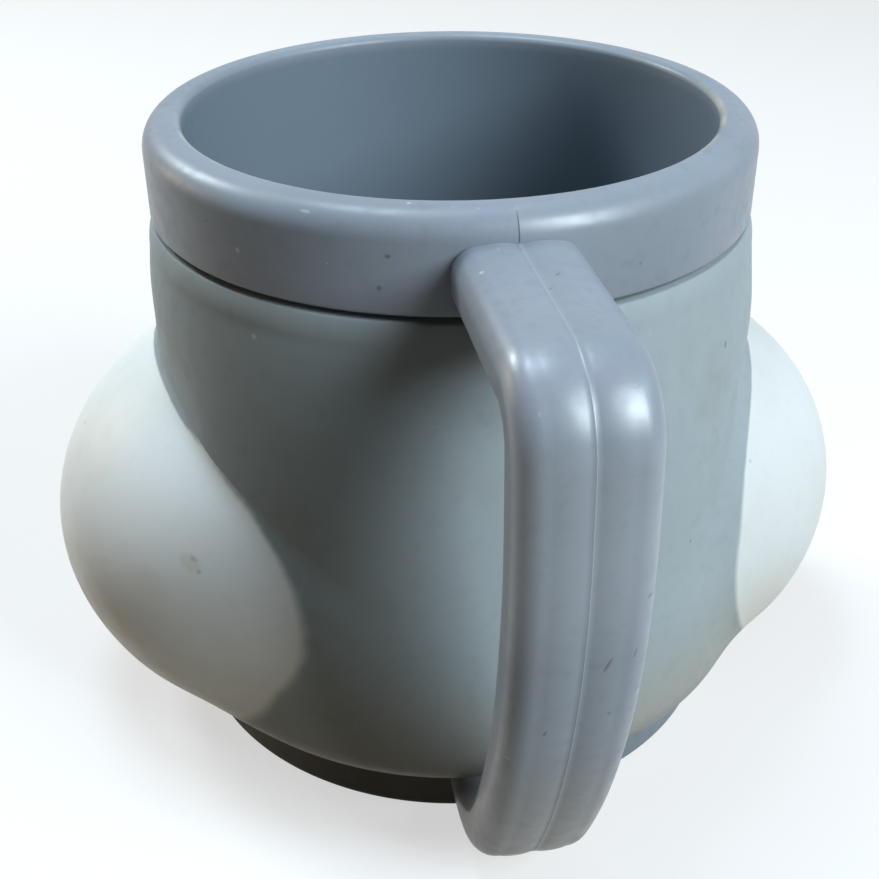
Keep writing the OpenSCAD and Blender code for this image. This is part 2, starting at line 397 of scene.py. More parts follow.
cup_mesh = lathe(cup_outline)
bmesh.ops.bisect_plane(cup_mesh, geom=cup_mesh.verts[:] + cup_mesh.edges[:] + cup_mesh.faces[:],
                       plane_co=(step_run, 0, 0), plane_no=(1, 0, 0))
proud_count = 0
for vert in cup_mesh.verts:
    ring = math.hypot(vert.co.x, vert.co.y)
    on_round = min(max((ring - collar_radius + step_inner) / (step_inner - step_outer), 0), 1)
    beside = step_run * cut_slack < vert.co.x < step_fade and vert.co.y < 0
    if beside and on_round > 0 and vert.co.z > lip_z - 2 * rim_round:
        outward = Vector((vert.co.x, vert.co.y, 0)).normalized() * (ring - collar_radius + rim_round)
        outward.z = max(vert.co.z - lip_z + rim_round, 0)
        vert.co += outward.normalized() * step_height * on_round * (1 - vert.co.x / step_fade)
        proud_count += 1
print("points on the proud half:", proud_count)

# %% [markdown]
# Drinks have stained the inside a little darker. Lips and spoons have worn the inner edge of the rim to a
# pale tan line. The flat of the rim keeps the fine rings of the turned mould. The proud half of the mould is
# better polished on the round, so the light runs along it, and the half on the left is duller.

# %% Cup finish with its rim
inside_grey = (0.160, 0.200, 0.242, 1)
lip_tan = (0.52, 0.48, 0.40, 1)
lip_line = 0.5 * MM
ring_height = 0.006 * MM
step_polish = 0.03
step_dull = 0.12
step_gloss = 0.75
dull_reach = 16 * MM
near_side_from = 8 * MM
near_side_full = -12 * MM
stain_strength = 0.95
worn_strength = 0.8
wear_patches = (160.0, 4.0)
wear_range = (0.30, 0.62)
rim_rings = (2600.0, 1.0)
cup_marks = [
    ((-31, -28.5, 84), (0.5, 0.5, 0.5), (0, 0, 0), dust_pale, 0.7),
    ((-15.5, -39, 82.5), (0.4, 0.4, 0.4), (0, 0, 0), speck_dark, 0.8),
    ((-14.5, -39.5, 86.5), (0.5, 0.5, 0.35), (0, 0, 0), speck_dark, 0.8),
    ((-11.5, -36.6, 91.5), (0.4, 0.3, 0.5), (0, 0, 20), dust_pale, 0.8),
    ((-23, -34, 90.5), (0.9, 0.2, 0.6), (0, 0, -35), dust_pale, 0.5),
]


def make_cup_finish(name):
    """The blue-grey plastic with the wear and the mould marks of the rim."""
    material, tree, shader = new_material(name, satin_gloss)
    place = object_place(tree)
    colour, roughness, height = blue_grey_finish(tree, place)
    colour = with_marks(tree, place, colour, cup_marks)
    axes = add_node(tree, "ShaderNodeSeparateXYZ", {0: place}).outputs
    level = add_node(tree, "ShaderNodeCombineXYZ", {"X": axes["X"], "Y": axes["Y"]}).outputs[0]
    ring = add_node(tree, "ShaderNodeVectorMath", {0: level}, operation="LENGTH").outputs["Value"]
    near_side = ease(tree, axes["Y"], near_side_from, near_side_full)

    within = ease(tree, ring, mouth_radius + 2 * lip_line, mouth_radius + lip_line)
    stained = calc(tree, "MULTIPLY", within, ease(tree, axes["Z"], lip_z - lip_line, lip_z - 5 * lip_line))
    colour = overlay(tree, colour, stained, stain_strength, inside_grey)

    lip_top = ease(tree, axes["Z"], lip_z - 2 * lip_line, lip_z - lip_line)
    on_lip = calc(tree, "MULTIPLY", within, lip_top)
    broken = ease(tree, noise(tree, place, *wear_patches), *wear_range)
    worn = calc(tree, "MULTIPLY", calc(tree, "MULTIPLY", on_lip, broken), near_side)
    colour = overlay(tree, colour, worn, worn_strength, lip_tan)

    ring_place = add_node(tree, "ShaderNodeCombineXYZ", {"X": ring}).outputs[0]
    rings = calc(tree, "MULTIPLY", noise(tree, ring_place, *rim_rings), ring_height)
    rings = calc(tree, "MULTIPLY", rings, ease(tree, axes["Z"], lip_z - 2 * lip_line, lip_z))
    height = calc(tree, "ADD", height, rings)

    on_round = ease(tree, ring, collar_radius - rim_round, collar_radius - step_outer)
    on_round = calc(tree, "MULTIPLY", on_round, near_side)
    on_right = ease(tree, axes["X"], 0.0, step_run)
    on_left = ease(tree, axes["X"], step_run, 0.0)
    polished = calc(tree, "MULTIPLY", on_right, ease(tree, axes["X"], step_fade, 0.0))
    dull = calc(tree, "MULTIPLY", on_left, ease(tree, axes["X"], -dull_reach, 0.0))
    rougher = calc(tree, "MULTIPLY", dull, step_dull)
    smoother = calc(tree, "MULTIPLY", polished, step_polish)
    change = calc(tree, "SUBTRACT", rougher, smoother)
    roughness = calc(tree, "ADD", roughness, calc(tree, "MULTIPLY", change, on_round))
    gloss = blend_value(tree, calc(tree, "MULTIPLY", polished, on_round), satin_gloss, step_gloss)
    tree.links.new(gloss, shader.inputs["Specular IOR Level"])
    dress(tree, shader, colour, roughness, height)
    return material


make_piece("cup_body", cup_mesh, "inner_cup", make_cup_finish("blue_grey_cup"))

# %% [markdown]
# ## The base
# A plate with a foot ring and a spigot that the shell slips over. Only the edge of the ring shows.

# %% Base
foot_round = 1.2 * MM
plate_z = 3 * MM
seat_width = 2 * MM
spigot_wall = 2 * MM
bottom_round = 7.2 * MM

rest_radius = shell_radius - bottom_round
spigot_radius = rest_radius - seat_width
spigot_bore = spigot_radius - spigot_wall
base_outline = [(0, base_low.z)]
base_outline += arc(foot_radius - foot_round, base_low.z + foot_round, foot_round, -90, 0, 8)
base_outline += [
    (foot_radius, foot_z),
    (spigot_radius, foot_z),
    (spigot_radius, base_high.z),
    (spigot_bore, base_high.z),
    (spigot_bore, plate_z),
    (0, plate_z),
]
print("base outline", len(base_outline), "points, foot", round(2 * foot_radius / MM, 1), "mm wide")

# %% [markdown]
# The foot is duller than the cup, and its left side under the shell is painted darker and browner: painted
# shade.

# %% Foot finish
foot_gloss = 0.10
foot_shade_brown = (0.145, 0.120, 0.080, 1)
foot_shade_clear_x = 25 * MM
foot_shade_full_x = 0 * MM
foot_shade_least = 0.1
foot_shade_most = 0.9
foot_rougher = 0.2
foot_patches = (120.0, 4.0)
foot_patch_range = (0.2, 0.6)
foot_patch_least = 0.75


def make_foot_finish(name):
    """The blue-grey plastic, dull, with painted shade on the left."""
    material, tree, shader = new_material(name, foot_gloss)
    place = object_place(tree)
    colour, roughness, height = blue_grey_finish(tree, place)
    across = add_node(tree, "ShaderNodeSeparateXYZ", {0: place}).outputs["X"]
    # The left side, under the shell, is painted darker and browner: painted shade.
    left_shade = ease(tree, across, foot_shade_clear_x, foot_shade_full_x, foot_shade_least, foot_shade_most)
    patches = ease(tree, noise(tree, place, *foot_patches), *foot_patch_range, foot_patch_least, 1.0)
    left_shade = calc(tree, "MULTIPLY", left_shade, patches)
    colour = blend_colour(tree, left_shade, colour, foot_shade_brown)
    dress(tree, shader, colour, calc(tree, "ADD", roughness, foot_rougher), height)
    return material


make_piece("base_foot", lathe(base_outline), "base", make_foot_finish("blue_grey_base"))

# %% [markdown]
# ## Grey matt plastic
# The shell is a greener grey than the cup and takes the light more softly. It has faint clouds, pale
# scuffs and a few specks of dirt, and low down it is painted darker and browner: painted shade with a warm
# cast.

# %% Grey finish
shell_grey = (0.336, 0.382, 0.404, 1)
shell_grey_pale = (0.362, 0.409, 0.430, 1)
shell_grey_brown = (0.292, 0.305, 0.292, 1)
scuff_pale = (0.55, 0.58, 0.58, 1)
matt_gloss = 0.12
matt_rough = (0.44, 0.56)
shell_low_shade = (0.345, 0.300, 0.228, 1)
shell_shade_low_z = 10 * MM
shell_shade_high_z = 34 * MM
shell_shade_most = 0.55
grime_range = (0.50, 0.80)
shell_clouds = (38.0, 4.0)
shell_grime = (70.0, 5.0)
shell_mottle = (450.0, 3.0)
shell_grain = (2200.0, 2.0)
shell_ripple = (180.0, 1.0)
shell_scuffs = (700.0, (1.0, 1.0, 0.12), (0.9, 0.2, 0.4), 0.26)
shell_dots = (230.0, 0.07, 0.10)
shell_dust = (300.0, 0.06, 0.10)
shell_grime_strength = 0.6
shell_mottle_strength = 0.12
shell_scuff_strength = 0.22
shell_dot_strength = 0.50
shell_dust_strength = 0.45
shell_marks = [
    ((-30, -30.5, 73.5), (0.6, 0.6, 0.5), (0, 0, 0), scuff_pale, 0.8),
    ((31, -30.5, 66.5), (0.5, 0.5, 0.7), (0, 0, 0), speck_dark, 0.5),
    ((-20, -41, 60), (0.3, 0.4, 1.2), (0, 25, 0), scuff_pale, 0.5),
]


def grey_finish(tree, place):
    """Colour, roughness and height of the shell's plastic."""
    clouds = ease(tree, noise(tree, place, *shell_clouds), *cloud_range)
    grime = ease(tree, noise(tree, place, *shell_grime), *grime_range)
    mottle = noise(tree, place, *shell_mottle)
    scuffs = streaks(tree, place, *shell_scuffs)
    dots = specks(tree, place, *shell_dots)
    dust = specks(tree, place, *shell_dust)
    colour = blend_colour(tree, clouds, shell_grey, shell_grey_pale)
    colour = overlay(tree, colour, grime, shell_grime_strength, shell_grey_brown)
    upward = add_node(tree, "ShaderNodeSeparateXYZ", {0: place}).outputs["Z"]
    # Low down the colour is painted darker and browner: painted shade with a warm cast.
    painted_low_shade = ease(tree, upward, shell_shade_high_z, shell_shade_low_z, 0.0, shell_shade_most)
    colour = blend_colour(tree, painted_low_shade, colour, shell_low_shade)
    colour = overlay(tree, colour, ease(tree, mottle, *mottle_range), shell_mottle_strength, speck_dark)
    colour = overlay(tree, colour, scuffs, shell_scuff_strength, scuff_pale)
    colour = overlay(tree, colour, dots, shell_dot_strength, speck_dark)
    colour = overlay(tree, colour, dust, shell_dust_strength, scuff_pale)
    roughness = ease(tree, mottle, *rough_range, *matt_rough)
    grain = calc(tree, "MULTIPLY", noise(tree, place, *shell_grain), grain_height)
    ripple = calc(tree, "MULTIPLY", noise(tree, place, *shell_ripple), ripple_height)
    return colour, roughness, calc(tree, "ADD", grain, ripple)


def make_grey(name):
    """The shell's plastic as a material."""
    material, tree, shader = new_material(name, matt_gloss)
    place = object_place(tree)
    colour, roughness, height = grey_finish(tree, place)
    dress(tree, shader, with_marks(tree, place, colour, shell_marks), roughness, height)
    return material


# %% [markdown]
# ## The outer shell
# The shell stands on the foot ring, bows out to its widest place just above it, and draws in to a soft
# shoulder under the collar. Its neck slides up behind the skirt. The outline goes up the outside and
# comes back down the inside, so the wall has its real thickness.

# %% Outer shell's sizes
shell_wall = 2 * MM
belly_bow = 0.6 * MM
shoulder_round = 10 * MM
shoulder_turn = 20
shoulder_height = 4 * MM
top_edge_round = 0.4 * MM
seam_gap = 0.5 * MM
fit_gap = 0.2 * MM
side_points = 72

shell_top_z = seam_z - seam_gap
shoulder_z = shell_top_z - shoulder_height
belly_z = foot_z + bottom_round
shoulder_radius = collar_radius + shoulder_round * (1 - math.cos(math.radians(shoulder_turn)))
neck_out = groove_radius - fit_gap
neck_in = liner_radius(groove_z) + fit_gap


def side_radius(height):
    """Outside of the shell between its widest place and its shoulder."""
    share = (height - belly_z) / (shoulder_z - belly_z)
    return shell_radius + (shoulder_radius - shell_radius) * share + bow(belly_bow, share)


print("shell from", round(foot_z / MM, 1), "to", round(shell_top_z / MM, 1), "mm, without its neck")

# %% [markdown]
# ## Where the lobes bulge out
# Each lobe is a stretched ball that stands half out of the shell. Round the top of it the shell has a
# shallow hollow, as a thumb leaves in clay beside a bulge. Both are written as distances: how far a point
# lies outside the plain shell, and how far it lies outside a lobe. The hollow fades with the second one, and
# on the left it fades towards the handle too.

# %% Distances from the shell and the lobes
left_low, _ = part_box("left_lobe")
_, right_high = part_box("right_lobe")
left_centre = np.array((-10, 0, 30.2)) * MM
left_half = np.array((left_centre[0] - left_low.x, 41 * MM, 38.5 * MM))
right_centre = np.array((20, 0, 27.8)) * MM
right_half = np.array((right_high.x - right_centre[0], 34 * MM, 35.6 * MM))
left_hollow_depth = 1.0 * MM
right_hollow_depth = 2.0 * MM
hollow_width = 11 * MM
hollow_low_z = 28 * MM
hollow_high_z = 58 * MM
left_hollow_from = -26 * MM
left_hollow_full = -14 * MM


def shell_distance(points):
    """How far points lie outside the plain shell."""
    ring = np.hypot(points[:, 0], points[:, 1])
    height = points[:, 2]
    corner = np.hypot(ring - rest_radius, height - belly_z) - bottom_round
    low = np.where(ring > rest_radius, corner, foot_z - height)
    return np.where(height > belly_z, ring - side_radius(height), low)


def ball_distance(points, centre, half):
    """How far points lie outside a stretched ball."""
    scaled = (points - centre) / half
    reach = np.linalg.norm(scaled, axis=1)
    return reach * (reach - 1) / np.linalg.norm(scaled / half, axis=1)


def smooth_share(value, low, high):
    """Goes smoothly from 0 to 1 as value goes from low to high."""
    share = np.clip((value - low) / (high - low), 0, 1)
    return share * share * (3 - 2 * share)


def hollow(points):
    """Depth of the hollow in the shell beside the lobes."""
    left = 1 - smooth_share(ball_distance(points, left_centre, left_half), 0, hollow_width)
    left *= left_hollow_depth * smooth_share(points[:, 1], left_hollow_from, left_hollow_full)
    right = 1 - smooth_share(ball_distance(points, right_centre, right_half), 0, hollow_width)
    right *= right_hollow_depth
    return np.maximum(left, right) * smooth_share(points[:, 2], hollow_low_z, hollow_high_z)


print("left lobe, half sizes in mm:", np.round(left_half / MM, 1))
print("right lobe, half sizes in mm:", np.round(right_half / MM, 1))

# %% [markdown]
# The shell is turned like the cup. Then each of its points moves in by the depth of the hollow at that place.

# %% Outer shell
side_heights = [belly_z + (shoulder_z - belly_z) * k / side_points for k in range(1, side_points)]
outside = arc(rest_radius, belly_z, bottom_round, -90, 0, 14)
outside += [(side_radius(height), height) for height in side_heights]
outside += arc(shoulder_radius - shoulder_round, shoulder_z, shoulder_round, 0, shoulder_turn, 6)
edge_ring, edge_z = outside[-1]
edge_ring -= top_edge_round * math.cos(math.radians(shoulder_turn))
edge_z -= top_edge_round * math.sin(math.radians(shoulder_turn))
outside += arc(edge_ring, edge_z, top_edge_round, shoulder_turn, 90, 5)
neck = [(neck_out, outside[-1][1]), (neck_out, shell_high.z), (neck_in, shell_high.z), (neck_in, shoulder_z)]
inside = [(side_radius(height) - shell_wall, height) for height in reversed(side_heights)]
bottom = [(rest_radius, foot_z + shell_wall), (spigot_radius + fit_gap, foot_z + shell_wall)]
start = (spigot_radius + fit_gap, foot_z)
shell_outline = [start] + outside + neck + inside + bottom + [start]
shell_mesh = lathe(shell_outline)
points = np.array([vert.co for vert in shell_mesh.verts])
for vert, depth in zip(shell_mesh.verts, hollow(points)):
    inward = Vector((vert.co.x, vert.co.y, 0)).normalized()
    vert.co -= inward * depth
make_piece("shell_body", shell_mesh, "outer_shell", make_grey("grey_shell"))

# %% [markdown]
# ## The side lobes
# A lobe flows out of the shell through a valley that is tight at its top and soft lower down. A plain ball
# pushed into the shell would meet it in a hard crease. Here a ball of fine triangles is drawn onto the
# surface where a blend of the two distances is zero, and the blend rounds the place where they meet. The
# rim of the lobe ends a hair under the shell. The height above the plain shell is kept on the mesh, because
# the edge of the white follows it.

# %% The blend of shell and lobe
underside_blend = 7 * MM
lobe_bottom_share = 0.3
lobe_bottom_z = foot_z + lobe_bottom_share * bottom_round
valley_tight = 1.5 * MM
valley_soft = 4.5 * MM
valley_low_z = 34 * MM
valley_high_z = 54 * MM
shell_dip = 0.03 * MM
probe = 0.01 * MM
draw_rounds = 14


def soft_min(first, second, blend):
    """The lesser of two distances, rounded where they are alike."""
    near = np.maximum(blend - np.abs(first - second), 0) / blend
    return np.minimum(first, second) - near ** 3 * blend / 6


def lobe_distance(points, centre, half):
    """How far points lie outside a lobe, whose underside is cut off softly."""
    ball = ball_distance(points, centre, half)
    return -soft_min(-ball, points[:, 2] - lobe_bottom_z, underside_blend)


def valley(points):
    """Width of the blend, which is tight at the top of a lobe."""
    tight = smooth_share(points[:, 2], valley_low_z, valley_high_z)
    return valley_soft + (valley_tight - valley_soft) * tight


def slope_of(distance, points):
    """Direction in which a distance grows."""
    steps = np.eye(3) * probe
    return np.stack([(distance(points + s) - distance(points - s)) / (2 * probe) for s in steps], axis=1)


# %% [markdown]
# The white of a lobe begins just above the shell. At the top of the lobe that edge is crisp, and lower
# down it is soft, as sprayed paint is where the mask stands off. The white is satin, a little yellowed, with
# faint stains, and low down it is painted darker and browner: painted shade with a warm cast.

# %% White satin finish
white_tint = (1.0, 1.01, 1.0)
yellowed_tint = (0.94, 0.93, 0.88)
stain_brown = (0.42, 0.33, 0.22, 1)
white_gloss = 0.22
white_rough_span = (0.34, 0.46)
lobe_dirt_and_shade = (0.70, 0.62, 0.50, 1)
lobe_shade_low_z = 10 * MM
lobe_shade_high_z = 30 * MM
lobe_shade_strength = 0.5
edge_soft_low_z = 30 * MM
edge_soft_high_z = 52 * MM
edge_soft_low = 0.5 * MM
edge_soft_high = 0.25 * MM
edge_wobble = 0.2 * MM
yellow_range = (0.40, 0.80)
white_clouds = (60.0, 4.0)
white_mottle = (420.0, 3.0)
white_dots = (180.0, 0.07, 0.12)
white_mottle_strength = 0.06
white_dot_strength = 0.35
edge_noise = (260.0, 3.0)
noise_middle = 0.5
lobe_marks = [
    ((-40.5, -30.5, 41.5), (0.7, 0.9, 0.5), (0, 20, 0), stain_brown, 0.45),
    ((-40, -31.5, 40), (0.4, 0.9, 0.5), (0, 0, 0), stain_brown, 0.40),
    ((-41, -30.5, 41), (2.4, 2.4, 1.8), (0, 15, 0), lobe_dirt_and_shade, 0.28),
    ((-46, -26, 36), (5.0, 5.0, 3.5), (0, 0, 0), lobe_dirt_and_shade, 0.20),
]


def make_white(name, paleness, first_edge, edge_steps):
    """White over grey. Going up, the rise at which the white begins goes from its first value to others.

    Each step has the height where it starts, the height where it ends and the new rise, all in mm.
    """
    material, tree, shader = new_material(name, white_gloss)
    place = object_place(tree)
    grey_colour, grey_rough, grain = grey_finish(tree, place)
    clouds = ease(tree, noise(tree, place, *white_clouds), *yellow_range)
    mottle = noise(tree, place, *white_mottle)
    dots = specks(tree, place, *white_dots)
    clean = [paleness * v for v in white_tint] + [1]
    yellowed = [paleness * v for v in yellowed_tint] + [1]
    white = blend_colour(tree, clouds, clean, yellowed)
    white = overlay(tree, white, ease(tree, mottle, *mottle_range), white_mottle_strength, stain_brown)
    white = overlay(tree, white, dots, white_dot_strength, stain_brown)
    white = with_marks(tree, place, white, lobe_marks)
    upward = add_node(tree, "ShaderNodeSeparateXYZ", {0: place}).outputs["Z"]
    # Low down the white is painted darker and browner: painted shade with a warm cast.
    painted_low_shade = ease(tree, upward, lobe_shade_high_z, lobe_shade_low_z, 0.0, lobe_shade_strength)
    white = blend_colour(tree, painted_low_shade, white, lobe_dirt_and_shade)
    white_rough = ease(tree, mottle, *rough_range, *white_rough_span)

    rise = add_node(tree, "ShaderNodeAttribute", attribute_name="rise").outputs["Fac"]
    wander = calc(tree, "SUBTRACT", noise(tree, place, *edge_noise), noise_middle)
    wobble = calc(tree, "MULTIPLY", wander, edge_wobble)
    above = calc(tree, "SUBTRACT", calc(tree, "ADD", rise, wobble), first_edge * MM)
    last_edge = first_edge
    for from_z, to_z, next_edge in edge_steps:
        lift = ease(tree, upward, from_z * MM, to_z * MM, 0.0, (last_edge - next_edge) * MM)
        above = calc(tree, "ADD", above, lift)
        last_edge = next_edge
    soft = ease(tree, upward, edge_soft_low_z, edge_soft_high_z, edge_soft_low, edge_soft_high)
    cover = ease(tree, calc(tree, "DIVIDE", above, soft), 0.0, 1.0)
    colour = blend_colour(tree, cover, grey_colour, white)
    roughness = blend_value(tree, cover, grey_rough, white_rough)
    gloss = blend_value(tree, cover, matt_gloss, white_gloss)
    tree.links.new(gloss, shader.inputs["Specular IOR Level"])
    dress(tree, shader, colour, roughness, grain)
    return material


# %% [markdown]
# A ball of fine triangles loses the points that lie deep in the mug. The others are drawn onto the blended
# surface in a few rounds: each goes down the slope by its distance. What ends up far from the lobe, or inside
# the ring that the shell rests on, is deleted, and the skin that is left gets a thickness.

# %% Lobes
ball_rounds = 7
keep_depth = 9 * MM
lobe_wall = 0.8 * MM


def make_lobe(name, node, centre, half, material):
    """Draws a ball onto the soft union of the shell and a lobe."""
    def distance(points):
        around = shell_distance(points) + hollow(points) + shell_dip
        return soft_min(around, lobe_distance(points, centre, half), valley(points))

    bm = bmesh.new()
    bmesh.ops.create_icosphere(bm, subdivisions=ball_rounds, radius=1)
    bmesh.ops.scale(bm, verts=bm.verts, vec=half)
    bmesh.ops.translate(bm, verts=bm.verts, vec=centre)
    points = np.array([vert.co for vert in bm.verts])
    within = np.hypot(points[:, 0], points[:, 1]) < rest_radius - keep_depth
    inner_side = points[:, 0] * np.sign(centre[0]) < 0
    buried = (shell_distance(points) < -keep_depth) | within | inner_side
    bmesh.ops.delete(bm, geom=[vert for vert, deep in zip(bm.verts, buried) if deep], context="VERTS")

    points = np.array([vert.co for vert in bm.verts])
    for _ in range(draw_rounds):
        slope = slope_of(distance, points)
        points -= slope * (distance(points) / np.sum(slope ** 2, axis=1))[:, None]
    rise_layer = bm.verts.layers.float.new("rise")
    for vert, point, rise in zip(bm.verts, points, shell_distance(points)):
        vert.co = point
        vert[rise_layer] = rise
    beyond = lobe_distance(points, centre, half) > valley(points) + lobe_wall
    beneath = np.hypot(points[:, 0], points[:, 1]) < rest_radius
    unseen = beyond | beneath
    bmesh.ops.delete(bm, geom=[vert for vert, out in zip(bm.verts, unseen) if out], context="VERTS")
    bmesh.ops.delete(bm, geom=[vert for vert in bm.verts if not vert.link_faces], context="VERTS")
    bmesh.ops.recalc_face_normals(bm, faces=bm.faces)
    bmesh.ops.solidify(bm, geom=bm.faces[:], thickness=lobe_wall)
    bmesh.ops.recalc_face_normals(bm, faces=bm.faces)
    return make_piece(name, bm, node, material)


left_paleness = 0.90
left_first_edge = 0.2
left_edge_steps = [(13, 22.5, 0.75), (34, 54, -0.1), (51, 62, -0.65)]
# The right lobe has the same white as the left, painted darker: painted shade against the strong light from
# the right.
right_shaded_paleness = 0.72
right_first_edge = 1.2
right_edge_steps = [(34, 52, 0.0)]
left_white = make_white("white_left", left_paleness, left_first_edge, left_edge_steps)
right_shaded_white = make_white("white_right_shaded", right_shaded_paleness, right_first_edge, right_edge_steps)
make_lobe("lobe_left", "left_lobe", left_centre, left_half, left_white)
make_lobe("lobe_right", "right_lobe", right_centre, right_half, right_shaded_white)

# %% [markdown]
# ## The handle
# The handle is a bar with a rounded section. Its outer face is two shallow pillows, one for each half of the
# mould, and between them stands the fine raised line where the halves met.

# %% Handle section
bar_thick = 8.6 * MM
bar_round = 3.3 * MM
bar_crown = 0.24 * MM
line_height = 0.06 * MM
line_half = 0.15 * MM
bar_half_width = bar_high.x
bar_half = bar_thick / 2

corner_x = bar_half_width - bar_round
corner_z = bar_half - bar_round
pillow_points = 8
pillow = [k / pillow_points for k in range(1, pillow_points)]
low_face = bar_half - bar_crown


def pillow_height(share):
    """Height of one half of the outer face, which bulges a little between the line and the corner."""
    return low_face + bow(bar_crown, share)


section = arc(corner_x, corner_z - bar_crown, bar_round, 0, 90, 10)
section += [(corner_x + (line_half - corner_x) * share, pillow_height(share)) for share in pillow]
section += [(line_half, low_face), (0, low_face + line_height), (-line_half, low_face)]
section += [(-line_half + (line_half - corner_x) * share, pillow_height(share)) for share in pillow]
section += arc(-corner_x, corner_z - bar_crown, bar_round, 90, 180, 10)
section += arc(-corner_x, -corner_z, bar_round, 180, 270, 10)
section += [(corner_x * share, -bar_half) for share in (-0.5, 0, 0.5)]
section += arc(corner_x, -corner_z, bar_round, 270, 360, 10)
print("handle section", len(section), "points")

# %% [markdown]
# The bar leaves the collar level, turns a tight corner, runs straight, sweeps in on a long arc and turns
# under the shell into the foot. The section is drawn once at the collar. Extruding its edges makes the
# straight runs and spinning them makes the bends, so the bar stays one clean tube.

# %% Handle path
upper_bend = 5.7 * MM
grip_straight = 9 * MM
grip_lean = math.radians(28)
lower_bend = 12.7 * MM

grip_r = -bar_low.y - bar_half
arm_z = bar_high.z - bar_half
low_arm_z = bar_low.z + bar_half
upper_r = grip_r - upper_bend
sweep_z = arm_z - upper_bend - grip_straight
sweep_bend = (sweep_z - low_arm_z - lower_bend * (1 - math.sin(grip_lean))) / math.sin(grip_lean)
lower_r = grip_r - sweep_bend + (sweep_bend - lower_bend) * math.cos(grip_lean)
root_radius = collar_radius - skirt_wall
run_steps = 6
bend_steps = 18
sweep_steps = 30


def run_on(bm, edges, travel):
    """Extrudes a loop of edges along a straight run and gives the new loop."""
    for _ in range(run_steps):
        grown = bmesh.ops.extrude_edge_only(bm, edges=edges)["geom"]
        edges = [part for part in grown if isinstance(part, bmesh.types.BMEdge)]
        points = [part for part in grown if isinstance(part, bmesh.types.BMVert)]
        bmesh.ops.translate(bm, verts=points, vec=travel / run_steps)
        edges = [edge for edge in edges if all(vert in points for vert in edge.verts)]
    return edges


def bend_on(bm, edges, ring, height, angle, steps):
    """Spins a loop of edges about a level axis along X and gives the new loop."""
    points = list({vert for edge in edges for vert in edge.verts})
    centre = (0, -ring, height)
    spun = bmesh.ops.spin(bm, geom=points + edges, cent=centre, axis=(1, 0, 0), angle=angle, steps=steps)
    return [part for part in spun["geom_last"] if isinstance(part, bmesh.types.BMEdge)]


bm = bmesh.new()
line_layer = bm.verts.layers.float.new("line")
loop = [bm.verts.new((x, -root_radius, arm_z + z)) for x, z in section]
for vert, (x, z) in zip(loop, section):
    vert[line_layer] = 1.0 if x == 0 and z > 0 else 0.0
edges = [bm.edges.new(pair) for pair in zip(loop, loop[1:] + loop[:1])]
ends = list(edges)
edges = run_on(bm, edges, Vector((0, root_radius - upper_r, 0)))
edges = bend_on(bm, edges, upper_r, arm_z - upper_bend, math.pi / 2, bend_steps)
edges = run_on(bm, edges, Vector((0, 0, -grip_straight)))
edges = bend_on(bm, edges, grip_r - sweep_bend, sweep_z, grip_lean, sweep_steps)
edges = bend_on(bm, edges, lower_r, low_arm_z + lower_bend, math.pi / 2 - grip_lean, bend_steps)
edges = run_on(bm, edges, Vector((0, lower_r - rest_radius, 0)))
bmesh.ops.holes_fill(bm, edges=ends + edges)
bmesh.ops.remove_doubles(bm, verts=bm.verts, dist=weld_distance)
print("handle tube", len(bm.faces), "faces, long arc's radius", round(sweep_bend / MM, 1), "mm")

# %% [markdown]
# The real bar is not quite even: it widens a little towards its lower end and bows to the right.

# %% Handle taper
root_width_share = 1.0
foot_width_share = 1.02
taper_share = 0.4
bow_right = 0.45 * MM

for vert in bm.verts:
    share = min(max((arm_z - vert.co.z) / (arm_z - low_arm_z), 0), 1)
    vert.co.x *= root_width_share + (foot_width_share - root_width_share) * min(1, share / taper_share)
    vert.co.x += bow(bow_right, share)
bmesh.ops.recalc_face_normals(bm, faces=bm.faces)
across = [vert.co.x for vert in bm.verts]
print("handle from", round(min(across) / MM, 2), "to", round(max(across) / MM, 2), "mm across")

# %% [markdown]
# Hands have polished the upper bend, so it mirrors more. The raised line carries a pale painted highlight
# that grows towards the top, there are a few scratches, and the lower end is painted darker and browner:
# painted shade with a warm cast.

# %% Handle finish
scratch_purple = (0.13, 0.11, 0.17, 1)
handle_low_shade = (0.250, 0.222, 0.180, 1)
handle_shade_low_z = 8 * MM
handle_shade_high_z = 48 * MM
handle_shade_most = 0.55
line_highlight_low = 0.04
line_highlight_high = 0.26
bend_gloss = 0.95
bend_centre = (0, -67, 73)
bend_reach = (40, 22, 24)
handle_marks = [
    ((2, -51.5, 88), (0.75, 0.16, 0.6), (0, 0, 42), speck_dark, 0.85),
    ((0.5, -54.5, 88), (0.4, 0.14, 0.6), (0, 0, 35), speck_dark, 0.75),
    ((-5.5, -48.5, 87.5), (0.5, 0.5, 0.5), (0, 0, 0), dust_pale, 0.9),
    ((-3, -72, 43), (0.22, 1.5, 0.7), (0, 20, 0), speck_dark, 0.8),
    ((-6.5, -69.5, 37.5), (0.4, 1.0, 0.4), (0, 0, 0), dust_pale, 0.7),
    ((3, -74, 53.5), (0.3, 1.5, 1.5), (0, 20, 0), scratch_purple, 0.75),
    ((6, -74, 54.5), (0.2, 1.5, 1.0), (0, 8, 0), scratch_purple, 0.65),
    ((7, -74, 62), (0.5, 1.5, 0.4), (0, 0, 0), speck_dark, 0.6),
    ((7.5, -72, 47), (0.4, 1.5, 0.4), (0, 0, 0), dust_pale, 0.7),
]


